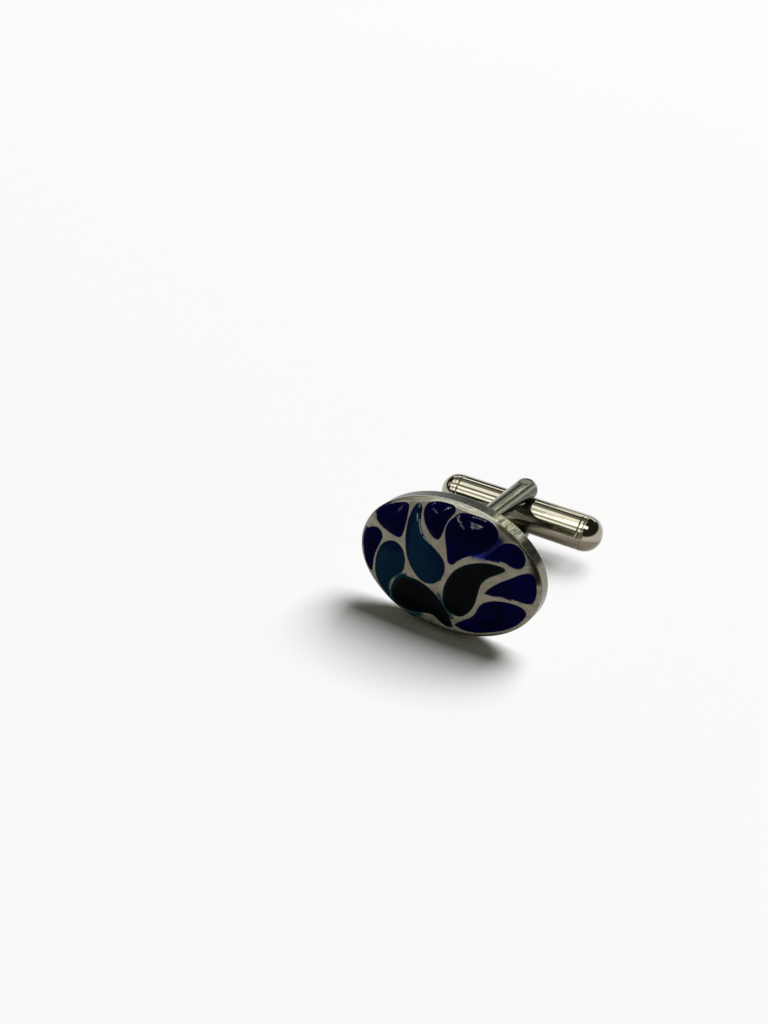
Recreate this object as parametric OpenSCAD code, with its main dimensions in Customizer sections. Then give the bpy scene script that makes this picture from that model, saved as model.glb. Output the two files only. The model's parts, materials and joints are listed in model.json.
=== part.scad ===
// Oval enamelled cufflink with a swivel toggle on a two-armed fork, lying on a table as it is set down.
// Pieces are drawn in the cufflink's own directions: X along the oval, Y back along the fork, Z up the oval,
// from the middle of the oval's back. on_table() then leans them on the rim and the lower arm.

/* [Oval face] */
// Length of the oval along its long axis
face_w = 20; // [16:0.5:26]
// Height of the oval along its short axis
face_h = 14; // [12:0.5:18]
// Thickness of the oval at its rim
rim_t = 2; // [1.6:0.1:3]
// Height of the crowned front over its rim
crown_rise = 0.4; // [0.2:0.05:0.8]
// Depth of the enamel cells under the rim's front edge
cell_depth = 0.6; // [0.3:0.05:1]
// How far the enamel lies under the metal lines
enamel_drop = 0.03; // [0.01:0.01:0.08]

/* [Fork] */
// Distance from the oval's back to the pivot
pivot_y = 16.2; // [14:0.2:20]
// Diameter of an arm at its round end
arm_w = 2.7; // [2.5:0.1:3.2]
// Diameter of an arm at its foot
arm_foot_w = 1.7; // [1.4:0.1:2.4]
// How far an arm's middle line lies outside the slot
arm_set = 0.45; // [0.3:0.05:0.7]
// Thickness of the bridge that joins the arms at the foot
bridge_t = 1.6; // [1:0.1:2.4]
// How far the centre of an arm's round end lies past the pivot
nose_shift = 0.4; // [0:0.05:0.8]
// Depth of the flat that is filed over each rivet end
rivet_flat = 0.2; // [0.18:0.01:0.3]
// How far the filed flat reaches from the pin's middle towards the foot
rivet_flat_l = 1.2; // [0.9:0.1:2]
// Depth of the seat in the oval's back that takes the foot
seat_depth = 0.3; // [0.1:0.05:0.6]
// Width of the solder round the foot
solder_w = 0.35; // [0.2:0.05:0.5]

/* [Pivot pin] */
// Diameter of the pin
pin_d = 1.3; // [1.1:0.05:1.35]
// Distance across the flats of the square cam in the pin's middle
cam_w = 1; // [0.85:0.05:1.05]
// Length of the square cam
cam_l = 2.6; // [2.2:0.1:2.8]

/* [Toggle] */
// Diameter of the toggle
toggle_d = 4.1; // [3.9:0.1:5]
// Length of the toggle over its domed ends
toggle_l = 19.5; // [15:0.5:22]
// Wall of the toggle's tube
tube_wall = 0.5; // [0.4:0.05:0.6]
// Length of a domed end
cap_l = 1.85; // [1.4:0.05:2.4]
// Length of the plug by which an end sits in the tube
plug_l = 1.4; // [0.8:0.1:2]
// How far an end's surface lies under the tube's at their seam
seam_step = 0.03; // [0.01:0.01:0.06]
// Gap between an end's plug and the tube
plug_gap = 0.02; // [0.01:0.01:0.05]
// Gap between the toggle and each arm
side_gap = 0.05; // [0.03:0.01:0.15]
// Gap all round between the pin and the holes in the toggle
run_gap = 0.03; // [0.02:0.01:0.08]

/* [Leaf springs] */
// Thickness of a leaf
leaf_t = 0.2; // [0.1:0.02:0.25]
// Height of a leaf's bow
leaf_bow = 0.35; // [0.1:0.05:0.4]
// Gap between a leaf and the square cam, and between its ends and what holds them
leaf_gap = 0.02; // [0.01:0.01:0.05]

/* [Hidden] */
$fn = 96;

// Steps of the crown, from the ends of the oval to its middle
crown_steps = 6;
// Fineness of the leaves' wide bow
bow_fn = 360;
// Steps between two points of an enamel outline
curve_steps = 4;
// Overrun of the cuts
over = toggle_d / 4;

// Sizes that follow
toggle_r = toggle_d / 2;
pin_r = pin_d / 2;
bore_r = toggle_r - tube_wall;
slot_h = toggle_d + 2 * side_gap;
arm_r = arm_w / 2;
arm_foot_r = arm_foot_w / 2;
arm_mid = slot_h / 2 + arm_set;
arm_top = arm_mid + arm_r;
nose_y = pivot_y + nose_shift;

// The table touches the back edge of the rim, and the lower arm where its nose leaves the filed flat
touch_y = nose_y + sqrt(pow(arm_r, 2) - pow(arm_r - rivet_flat, 2));
touch_z = arm_top - rivet_flat;
lean = atan((face_h / 2 - touch_z) / touch_y);
rest_z = face_h / 2 * cos(lean);
low_rim_t = rim_t + crown_rise * (1 - pow(face_h / face_w, 2));
middle_y = ((pivot_y - low_rim_t) * cos(lean) + toggle_r - face_h / 2 * sin(lean)) / 2;

// A leaf lies on the cam, and the long edges of its bowed ends just clear the tube's bore
leaf_low = cam_w / 2 + leaf_gap;
leaf_w = 2 * sqrt(pow(bore_r - leaf_gap, 2) - pow(leaf_low + leaf_bow + leaf_t, 2));

// Outlines of the enamel cells, clockwise, as shares of half the oval's length and height.
// A third value of 1 keeps a point sharp.
upper_left_shares = [[-0.503, 0.745, 1], [-0.503, 0.55], [-0.52, 0.33], [-0.55, 0.22], [-0.64, 0.22],
    [-0.76, 0.275], [-0.835, 0.355], [-0.845, 0.46], [-0.77, 0.585], [-0.66, 0.69], [-0.54, 0.758]];
far_left_shares = [[-0.84, 0.22], [-0.78, 0.195], [-0.755, 0.1], [-0.79, -0.06], [-0.82, -0.25],
    [-0.822, -0.475, 1], [-0.85, -0.46], [-0.9, -0.37], [-0.945, -0.21], [-0.965, -0.03], [-0.95, 0.105],
    [-0.905, 0.185]];
teal_left_shares = [[-0.6, 0.113], [-0.52, 0.065], [-0.47, -0.05], [-0.455, -0.18], [-0.47, -0.3],
    [-0.53, -0.385], [-0.585, -0.48], [-0.61, -0.6], [-0.585, -0.765, 1], [-0.66, -0.7], [-0.73, -0.6],
    [-0.775, -0.48], [-0.79, -0.34], [-0.782, -0.17], [-0.75, -0.03], [-0.69, 0.065]];
teal_middle_shares = [[-0.395, 0.82], [-0.36, 0.79], [-0.355, 0.65], [-0.34, 0.5], [-0.29, 0.37],
    [-0.2, 0.27], [-0.1, 0.18], [-0.03, 0.08], [-0.01, -0.06], [-0.045, -0.21], [-0.13, -0.315],
    [-0.24, -0.32], [-0.35, -0.2], [-0.43, -0.04], [-0.475, 0.17], [-0.487, 0.38], [-0.475, 0.57],
    [-0.44, 0.74]];
top_shares = [[-0.1, 0.955], [-0.015, 0.945], [-0.003, 0.87], [-0.05, 0.75], [-0.08, 0.62], [-0.1, 0.48],
    [-0.13, 0.395], [-0.18, 0.405], [-0.25, 0.49], [-0.305, 0.61], [-0.325, 0.74], [-0.3, 0.85],
    [-0.22, 0.925]];
upper_right_shares = [[0.0, 0.785], [0.055, 0.87], [0.15, 0.91], [0.28, 0.913], [0.39, 0.885], [0.46, 0.8],
    [0.48, 0.69], [0.45, 0.59], [0.39, 0.475], [0.3, 0.375], [0.2, 0.29], [0.12, 0.195], [0.06, 0.095],
    [0.02, 0.115], [-0.015, 0.27], [-0.045, 0.42], [-0.065, 0.56], [-0.045, 0.69]];
shoulder_shares = [[0.555, 0.65], [0.62, 0.682], [0.69, 0.672], [0.755, 0.6], [0.785, 0.505], [0.775, 0.41],
    [0.72, 0.358], [0.66, 0.36], [0.6, 0.387], [0.5, 0.378], [0.39, 0.352, 1], [0.45, 0.465],
    [0.5, 0.58]];
black_right_shares = [[0.6, 0.29], [0.5, 0.298], [0.4, 0.275], [0.28, 0.21], [0.18, 0.12], [0.1, 0],
    [0.045, -0.155], [0.017, -0.33], [0.03, -0.51], [0.085, -0.62], [0.16, -0.672], [0.25, -0.643],
    [0.32, -0.535], [0.362, -0.38], [0.375, -0.22], [0.392, -0.06], [0.445, 0.07], [0.53, 0.17],
    [0.605, 0.255, 1]];
black_left_shares = [[-0.45, -0.36], [-0.35, -0.35], [-0.25, -0.36], [-0.14, -0.41], [-0.05, -0.485],
    [0.04, -0.605], [0.11, -0.72], [0.17, -0.88, 1], [0.1, -0.9], [0.03, -0.86], [-0.05, -0.805],
    [-0.14, -0.81], [-0.24, -0.852], [-0.34, -0.882], [-0.44, -0.868], [-0.53, -0.8], [-0.57, -0.67],
    [-0.55, -0.52], [-0.51, -0.42]];
far_right_shares = [[0.45, -0.165, 1], [0.5, -0.06], [0.58, 0.06], [0.68, 0.175], [0.78, 0.29],
    [0.86, 0.338], [0.91, 0.3], [0.94, 0.18], [0.953, 0.05], [0.935, -0.07], [0.88, -0.105], [0.76, -0.112],
    [0.63, -0.13], [0.52, -0.165]];
lower_right_shares = [[0.195, -0.83, 1], [0.26, -0.735], [0.34, -0.64], [0.39, -0.54], [0.415, -0.42],
    [0.46, -0.33], [0.54, -0.255], [0.64, -0.21], [0.76, -0.19], [0.86, -0.215], [0.892, -0.28],
    [0.86, -0.4], [0.79, -0.525], [0.69, -0.64], [0.57, -0.735], [0.43, -0.82], [0.3, -0.857]];

// A direction at each point and a pull in step with each stretch keep the curve from overshooting
function unit(v) = norm(v) > 0 ? v / norm(v) : v;
function place(p, i) = let (q = p[(i + len(p)) % len(p)]) [q[0] * face_w / 2, q[1] * face_h / 2];
function heading(p, i, other) = p[(i + len(p)) % len(p)][2] == 1
    ? unit(other)
    : unit(place(p, i + 1) - place(p, i - 1));
function blend(a, b, pull_a, pull_b, t) =
    (2 * pow(t, 3) - 3 * pow(t, 2) + 1) * a + (pow(t, 3) - 2 * pow(t, 2) + t) * pull_a
    + (3 * pow(t, 2) - 2 * pow(t, 3)) * b + (pow(t, 3) - pow(t, 2)) * pull_b;
function outline(p) = [for (i = [0 : len(p) - 1])
    let (a = place(p, i), b = place(p, i + 1), run = norm(b - a))
    for (k = [0 : curve_steps - 1])
        blend(a, b, heading(p, i, b - a) * run, heading(p, i + 1, b - a) * run, k / curve_steps)];

// Puts a piece on the table, leaning back on its rim and its lower arm
module on_table() {
    translate([0, -middle_y, rest_z]) rotate([-lean, 0, 0]) children();
}

// A round arm along Y that widens from its foot to its ball end
module arm() {
    translate([0, -seat_depth, 0]) rotate([-90, 0, 0])
        cylinder(r1 = arm_foot_r, r2 = arm_r, h = nose_y + seat_depth);
    translate([0, nose_y, 0]) rotate([-90, 0, 0]) sphere(r = arm_r);
}

// The oval with a flat back and a crowned front, its front set back by a drop
module crowned_oval(drop) {
    crown = [for (k = [0 : crown_steps]) let (r = (1 - k / crown_steps) * (face_w / 2 + over))
        [r, rim_t - drop + crown_rise * (1 - pow(2 * r / face_w, 2))]];
    intersection() {
        translate([0, over, 0]) rotate([90, 0, 0]) linear_extrude(height = rim_t + crown_rise + over)
            scale([1, face_h / face_w]) circle(d = face_w);
        rotate([90, 0, 0]) rotate_extrude() polygon(concat([[0, 0], [face_w / 2 + over, 0]], crown));
    }
}

// A straight-walled block with a cell's outline, from the cell's floor forwards
module cell(shares) {
    translate([0, cell_depth - rim_t, 0]) rotate([90, 0, 0]) linear_extrude(height = cell_depth + rim_t)
        polygon(outline(shares));
}

module enamel(shares, colour) {
    color(colour) on_table() intersection() {
        crowned_oval(enamel_drop);
        cell(shares);
    }
}

// The oval foot of the fork, wider by the solder's width
module foot_outline(grow, from_y, to_y, end_grow) {
    tall = to_y - from_y;
    for (side = [-1, 1])
        translate([0, from_y, side * arm_mid]) rotate([-90, 0, 0])
            cylinder(r1 = arm_foot_r + grow, r2 = arm_foot_r + end_grow, h = tall);
    translate([0, 0, -arm_mid]) linear_extrude(height = 2 * arm_mid)
        polygon([[-arm_foot_r - grow, from_y], [arm_foot_r + grow, from_y],
            [arm_foot_r + end_grow, to_y], [-arm_foot_r - end_grow, to_y]]);
}

module face_base() {
    color("silver") on_table() difference() {
        crowned_oval(0);
        for (shares = [upper_left_shares, far_left_shares, teal_left_shares, teal_middle_shares, top_shares,
                upper_right_shares, shoulder_shares, black_right_shares, black_left_shares,
                far_right_shares, lower_right_shares])
            cell(shares);
        foot_outline(solder_w, -seat_depth, over, solder_w);
    }
}

// The fork before its slot is cut: two round arms, joined by a flat-sided bridge at the foot
module fork_blank() {
    for (side = [-1, 1])
        translate([0, 0, side * arm_mid]) arm();
    translate([-arm_foot_r, -seat_depth, -arm_mid])
        cube([arm_foot_w, seat_depth + bridge_t + slot_h / 2, 2 * arm_mid]);
}

// Two arms with a round-bottomed slot between them, bored for the pin and filed flat over it
module fork() {
    color("gainsboro") on_table() difference() {
        fork_blank();
        translate([-arm_w, bridge_t + slot_h / 2, 0]) rotate([0, 90, 0]) cylinder(d = slot_h, h = 2 * arm_w);
        translate([-arm_w, bridge_t + slot_h / 2, -slot_h / 2]) cube([2 * arm_w, pivot_y, slot_h]);
        translate([0, pivot_y, -arm_top - over]) cylinder(r = pin_r, h = 2 * (arm_top + over));
        for (side = [0, 180])
            rotate([0, side, 0]) translate([-arm_w, pivot_y - rivet_flat_l, touch_z])
                cube([2 * arm_w, rivet_flat_l + nose_shift + arm_w, over]);
    }
}

module solder_seam() {
    color("darkgray") on_table() difference() {
        union() {
            foot_outline(solder_w, -seat_depth, 0, solder_w);
            foot_outline(solder_w, 0, solder_w, 0);
        }
        fork_blank();
    }
}

// Round pin, peened flush in both arms, with a square cam in its middle
module pivot_pin() {
    color("dimgray") on_table() translate([0, pivot_y, 0]) difference() {
        translate([0, 0, -touch_z]) cylinder(r = pin_r, h = 2 * touch_z);
        for (turn = [0 : 90 : 270])
            rotate([0, 0, turn]) translate([cam_w / 2, -pin_d, -cam_l / 2]) cube([pin_d, 2 * pin_d, cam_l]);
    }
}

module at_pivot() {
    on_table() translate([0, pivot_y, 0]) children();
}

module toggle_tube() {
    half_l = toggle_l / 2 - cap_l;
    color("gainsboro") at_pivot() difference() {
        translate([-half_l, 0, 0]) rotate([0, 90, 0]) cylinder(r = toggle_r, h = 2 * half_l);
        translate([-half_l - over, 0, 0]) rotate([0, 90, 0]) cylinder(r = bore_r, h = 2 * (half_l + over));
        translate([0, 0, -toggle_d]) cylinder(r = pin_r + run_gap, h = 2 * toggle_d);
    }
}

// A domed end with a plug that sits in the tube
module toggle_cap() {
    seam_x = toggle_l / 2 - cap_l;
    cap_r = toggle_r - seam_step;
    union() {
        intersection() {
            translate([seam_x, 0, 0]) scale([cap_l / cap_r, 1, 1]) sphere(r = cap_r);
            translate([seam_x, -toggle_d, -toggle_d]) cube([2 * cap_l, 2 * toggle_d, 2 * toggle_d]);
        }
        translate([seam_x - plug_l, 0, 0]) rotate([0, 90, 0]) cylinder(r = bore_r - plug_gap, h = plug_l);
    }
}

module toggle_cap_left() {
    color("gainsboro") at_pivot() mirror([1, 0, 0]) toggle_cap();
}

module toggle_cap_right() {
    color("gainsboro") at_pivot() toggle_cap();
}

// A bowed leaf that lies on one flat of the cam and bears on the tube's wall at its ends
module leaf() {
    reach = toggle_l / 2 - cap_l - plug_l - leaf_gap;
    bow_r = (pow(reach, 2) + pow(leaf_bow, 2)) / (2 * leaf_bow);
    intersection() {
        translate([0, leaf_low + bow_r, -leaf_w / 2]) difference() {
            cylinder(r = bow_r, h = leaf_w, $fn = bow_fn);
            translate([0, 0, -over]) cylinder(r = bow_r - leaf_t, h = leaf_w + 2 * over, $fn = bow_fn);
        }
        translate([-reach, 0, -leaf_w]) cube([2 * reach, bore_r, 2 * leaf_w]);
    }
}

module leaf_spring_front() {
    color("slategray") at_pivot() mirror([0, 1, 0]) leaf();
}

module leaf_spring_back() {
    color("slategray") at_pivot() leaf();
}

face_base();
enamel(upper_left_shares, "midnightblue");  // enamel_cobalt_upper_left
enamel(far_left_shares, "midnightblue");  // enamel_cobalt_far_left
enamel(teal_left_shares, "darkslategray");  // enamel_teal_left
enamel(teal_middle_shares, "darkslategray");  // enamel_teal_middle
enamel(top_shares, "midnightblue");  // enamel_cobalt_top
enamel(upper_right_shares, "midnightblue");  // enamel_cobalt_upper_right
enamel(shoulder_shares, "midnightblue");  // enamel_cobalt_shoulder
enamel(black_right_shares, "black");  // enamel_black_right
enamel(black_left_shares, "black");  // enamel_black_left
enamel(far_right_shares, "midnightblue");  // enamel_cobalt_far_right
enamel(lower_right_shares, "midnightblue");  // enamel_cobalt_lower_right
fork();
solder_seam();
pivot_pin();
toggle_tube();
toggle_cap_left();
toggle_cap_right();
leaf_spring_front();
leaf_spring_back();
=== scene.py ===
import json
import math
import random

import bmesh
import bpy
import numpy as np
from mathutils import Matrix, Vector, noise
from mathutils.geometry import delaunay_2d_cdt
from mathutils.kdtree import KDTree

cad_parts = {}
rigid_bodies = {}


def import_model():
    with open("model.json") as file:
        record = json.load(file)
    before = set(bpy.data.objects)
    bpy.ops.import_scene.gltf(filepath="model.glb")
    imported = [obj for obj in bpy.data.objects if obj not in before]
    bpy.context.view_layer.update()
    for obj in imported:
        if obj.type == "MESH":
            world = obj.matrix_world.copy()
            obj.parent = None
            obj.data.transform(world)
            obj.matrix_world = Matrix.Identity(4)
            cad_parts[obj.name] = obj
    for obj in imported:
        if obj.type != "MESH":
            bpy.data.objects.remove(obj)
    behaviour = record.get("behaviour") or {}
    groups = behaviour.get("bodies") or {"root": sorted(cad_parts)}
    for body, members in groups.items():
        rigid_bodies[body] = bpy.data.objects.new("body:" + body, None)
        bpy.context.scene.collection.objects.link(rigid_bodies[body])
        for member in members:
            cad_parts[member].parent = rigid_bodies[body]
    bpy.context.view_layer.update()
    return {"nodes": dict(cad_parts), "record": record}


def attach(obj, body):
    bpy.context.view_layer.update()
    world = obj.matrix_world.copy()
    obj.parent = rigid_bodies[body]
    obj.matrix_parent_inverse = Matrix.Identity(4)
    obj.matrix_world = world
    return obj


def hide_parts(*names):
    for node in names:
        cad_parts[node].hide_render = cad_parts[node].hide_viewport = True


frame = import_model()
record = frame["record"]
nodes = frame["nodes"]
random.seed(11)
print("frame loaded:", len(nodes), "nodes")

# The cufflink's own axes, in mm: x along the oval, y back along the fork, z up the oval
swivel = record["behaviour"]["joints"][0]
cuffSide = next(m for m in record["mounts"] if m["name"] == "cuff_face")["pos_m"]
lean = math.atan2(swivel["axis"][1], swivel["axis"][2])
toRow = (Matrix.Translation((0, cuffSide[1], cuffSide[2])) @ Matrix.Rotation(-lean, 4, "X")
         @ Matrix.Scale(0.001, 4))
toOwn = toRow.inverted()
pivotY = (toOwn @ Vector(swivel["pos_m"])).y


class Wire:
    # a socket that takes arithmetic, in material and geometry trees alike
    def __init__(self, bench, socket):
        self.bench, self.socket = bench, socket

    def __add__(self, other): return self.bench.math("ADD", self, other)
    def __radd__(self, other): return self.bench.math("ADD", other, self)
    def __sub__(self, other): return self.bench.math("SUBTRACT", self, other)
    def __rsub__(self, other): return self.bench.math("SUBTRACT", other, self)
    def __mul__(self, other): return self.bench.math("MULTIPLY", self, other)
    def __rmul__(self, other): return self.bench.math("MULTIPLY", other, self)
    def __truediv__(self, other): return self.bench.math("DIVIDE", self, other)
    def __neg__(self): return self.bench.math("MULTIPLY", self, -1)
    def __abs__(self): return self.bench.math("ABSOLUTE", self)


class Bench:
    # adds nodes to one tree
    def __init__(self, tree):
        self.tree = tree

    def add(self, kind, sockets=None, out=0, **settings):
        node = self.tree.nodes.new(kind)
        for name, value in settings.items():
            setattr(node, name, value)
        for key, value in (sockets or {}).items():
            if isinstance(value, Wire):
                self.tree.links.new(value.socket, node.inputs[key])
            else:
                node.inputs[key].default_value = value
        return node if out is None or not node.outputs else Wire(self, node.outputs[out])

    def math(self, operation, *values):
        return self.add("ShaderNodeMath", dict(enumerate(values)), operation=operation)

    def smooth(self, value, low, high, first=0.0, last=1.0):
        return self.add("ShaderNodeMapRange", {0: value, 1: low, 2: high, 3: first, 4: last},
                        interpolation_type="SMOOTHSTEP")

    def band(self, value, rise, risen, fall, fallen):
        # 1 between two smooth steps, 0 outside them
        return self.smooth(value, rise, risen) * self.smooth(value, fall, fallen, 1, 0)

    def tint(self, factor, first, second):
        return self.add("ShaderNodeMix", {0: factor, 6: first, 7: second}, out=2, data_type="RGBA")

    def vector(self, x, y, z):
        return self.add("ShaderNodeCombineXYZ", {0: x, 1: y, 2: z})

    def parts(self, vector):
        node = self.add("ShaderNodeSeparateXYZ", {0: vector}, out=None)
        return [Wire(self, s) for s in node.outputs]

    def grain(self, vector, scale, detail=2.0, roughness=0.5, distortion=0.0):
        return self.add("ShaderNodeTexNoise", {
            "Vector": vector, "Scale": scale, "Detail": detail, "Roughness": roughness,
            "Distortion": distortion})

    def ownMm(self):
        # Object coordinates turned into the cufflink's own millimetres
        seen = self.add("ShaderNodeTexCoord", out=3)
        return self.add("ShaderNodeMapping", {
            "Vector": seen, "Location": (0, cuffSide[1], cuffSide[2]),
            "Rotation": (-lean, 0, 0), "Scale": (0.001, 0.001, 0.001)}, vector_type="TEXTURE")

    def wallDistance(self):
        # mm from the nearest wall's edge, as written on the oval and the enamels
        return self.add("ShaderNodeAttribute", out=2, attribute_name="wallDistance")

    def bump(self, strength, height, distance=0.00004):
        return self.add("ShaderNodeBump", {
            "Strength": strength, "Distance": distance, "Height": height})


def colour(r, g, b):
    return (r, g, b, 1)


def bare(holder):
    # a bench for the emptied node tree of a material or a world
    holder.use_nodes = True
    holder.node_tree.nodes.clear()
    return Bench(holder.node_tree)


def newObject(name, data):
    made = bpy.data.objects.new(name, data)
    bpy.context.scene.collection.objects.link(made)
    return made


mattSoot = colour(0.010, 0.010, 0.008)


def finish(name, make):
    # one Principled shader fed by make(bench), with matt soot over it where asked
    material = bpy.data.materials.new(name)
    bench = bare(material)
    looks = make(bench)
    soot = looks.pop("soot", None)
    shader = bench.add("ShaderNodeBsdfPrincipled", looks)
    if soot is not None:
        matt = bench.add("ShaderNodeBsdfDiffuse", {"Color": mattSoot})
        shader = bench.add("ShaderNodeMixShader", {0: soot, 1: shader, 2: matt})
    bench.add("ShaderNodeOutputMaterial", {"Surface": shader})
    return material


# the oval in mm: its measures, how its points are spread, and the angles in degrees where its side is
# marked deepest
oval = {
    "halfLength": 10.0, "halfHeight": 7.0, "rimThick": 2.0, "crownRise": 0.4, "cellDepth": 0.6,
    "edgeRound": 0.55, "leastRound": 0.05, "roundPerGap": 0.80, "roundLess": 0.04, "evenOver": 22,
    "backBevel": 0.12, "wallRound": 0.11, "lipFall": 0.012, "lipReach": 0.3, "rimCalm": 0.3,
    "castWave": 0.014, "longWave": 0.007, "shortWave": 0.003,
    "sideWave": 0.008, "deepWave": 0.026, "deepFrom": 50, "deepOver": 34,
    "aroundCount": 1280, "seatCount": 48, "evenSteps": 0.09, "outlineStep": 0.09,
    "roundSteps": 7, "sideSteps": 8, "bevelSteps": 4,
    "cellRings": (0.03, 0.065, 0.11, 0.17, 0.25), "rimRings": (0.06, 0.13, 0.22),
    "inset": 0.3, "frontGap": 0.13, "backGap": 0.8, "backArea": ((-9, -6), (9, 6))}

metalLooks = {
    "base": colour(0.235, 0.215, 0.165), "worn": colour(0.155, 0.145, 0.108),
    "dark": colour(0.085, 0.08, 0.058), "sideLight": colour(0.27, 0.265, 0.20),
    "sideDark": colour(0.06, 0.06, 0.04), "sidePlain": colour(0.22, 0.205, 0.155),
    "backLight": colour(0.40, 0.385, 0.32), "backDark": colour(0.27, 0.26, 0.21),
    # the rim's bright colour is a painted highlight on the upper edge's rounding
    "sideBright": colour(0.85, 0.84, 0.64), "rimHighlight": colour(0.86, 0.85, 0.72),
    "smoke": colour(0.012, 0.012, 0.009), "topSide": colour(0.028, 0.031, 0.020),
    "tealFilm": colour(0.0, 0.030, 0.038), "blueFilm": colour(0.002, 0.009, 0.12),
    "blueDeep": colour(0.0005, 0.001, 0.034), "roughness": 0.36, "bump": 0.6,
    # grains: scale, detail, roughness; marks per radian round the oval
    "wide": (0.9, 4, 0.55), "fine": (5.0, 6, 0.7), "grit": (22.0, 3, 0.6),
    "marks": 75, "wideMarks": 16, "brushing": 34,
    # where looks fade in and out: radians round the oval from its right end
    "tickSpan": (0.76, 0.90, 1.08, 1.26), "smokeSpan": (0.44, 0.54, 0.72, 0.86),
    "topSpan": (1.16, 1.36, 2.9, 3.05), "crackSpan": (-0.35, -0.1, 0.5, 0.8),
    "plainUnder": (0.40, 0.52), "scarredOver": (0.4, 0.55),
    "highlightFrom": (1.06, 1.2), "highlightTo": (1.55, 2.4),
    # shares of the way out to the rim, then mm behind the front, from a wall, along x
    "nearRim": (0.84, 0.93), "rounding": (0.925, 0.965),
    "frontDeep": (0.30, 0.55), "highlightDeep": (0.55, 0.72), "crackDeep": 0.42,
    "crackHalf": (0.03, 0.10), "hollowReach": 0.15, "blueGlow": (2.0, 2.4, 3.35, 3.95)}

# where glass has run over the walls: points (x, z) in mm along each run, its half width
tealRuns = [
    ([(-5.3, -2.75), (-4.3, -2.35)], 0.24), ([(-4.2, -6.5), (-3.0, -6.4), (-2.1, -6.0)], 0.42),
    ([(-5.4, -2.8), (-5.85, -3.15), (-6.1, -3.6), (-6.15, -4.6), (-5.6, -5.6), (-4.6, -6.3)], 0.36),
    ([(-0.3, -3.1), (0.5, -4.0), (1.5, -5.1)], 0.26), ([(-1.2, -1.8), (-0.35, -1.35)], 0.20),
    ([(-8.0, 1.2), (-7.6, 0.7)], 0.16)]
blueRuns = [
    ([(2.7, 2.45), (3.2, 2.6)], 0.42), ([(3.9, 2.42), (5.3, 2.6)], 0.13),
    ([(5.9, -0.8), (7.2, -0.95)], 0.09),
    ([(3.3, 2.62), (3.8, 2.72), (4.16, 3.24), (4.51, 3.81), (4.82, 4.34), (5.0, 4.65)], 0.56),
    ([(-8.5, 3.2), (-7.95, 4.05), (-7.25, 4.8)], 0.30),
    ([(-9.45, 1.1), (-9.6, 0.2), (-9.5, -0.8)], 0.22)]
# pale and silvery lines in the teal glass, and worn and dark patches on the metal
silverRuns = [
    ([(-3.92, 4.62), (-3.81, 3.9)], 0.06), ([(-3.9, 5.68), (-3.86, 5.37)], 0.06),
    ([(-3.6, 4.05), (-3.51, 3.52), (-3.31, 3.02), (-3.14, 2.7)], 0.06),
    ([(-3.04, 2.95), (-2.71, 2.58)], 0.05),
    ([(-2.9, 2.45), (-2.49, 2.2), (-2.12, 2.0), (-1.66, 1.9)], 0.06)]
paleRuns = [([(-3.94, 3.57), (-3.7, 2.94), (-3.31, 2.35), (-2.83, 1.8), (-2.28, 1.41)], 0.09)]
chippedPatch = [([(4.9, 5.9), (5.3, 4.9), (6.0, 5.4)], 0.55)]
patinaRuns = [([(7.7, 5.6), (8.5, 4.6), (9.1, 3.5), (9.5, 2.3)], 0.75)]


def runMask(b, x, z, runs, ragged):
    # 1 on the runs, fading to 0 past their ragged edges
    mask = None
    for points, half in runs:
        for (ax, az), (bx, bz) in zip(points, points[1:]):
            dx, dz = bx - ax, bz - az
            along = ((x - ax) * dx + (z - az) * dz) * (1 / (dx * dx + dz * dz))
            along = b.math("MINIMUM", b.math("MAXIMUM", along, 0.0), 1.0)
            offX, offZ = x - ax - along * dx, z - az - along * dz
            away = b.math("SQRT", offX * offX + offZ * offZ) + ragged
            one = b.smooth(away, half * 0.25, half * 1.5, 1, 0)
            mask = one if mask is None else b.math("MAXIMUM", mask, one)
    return mask


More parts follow.
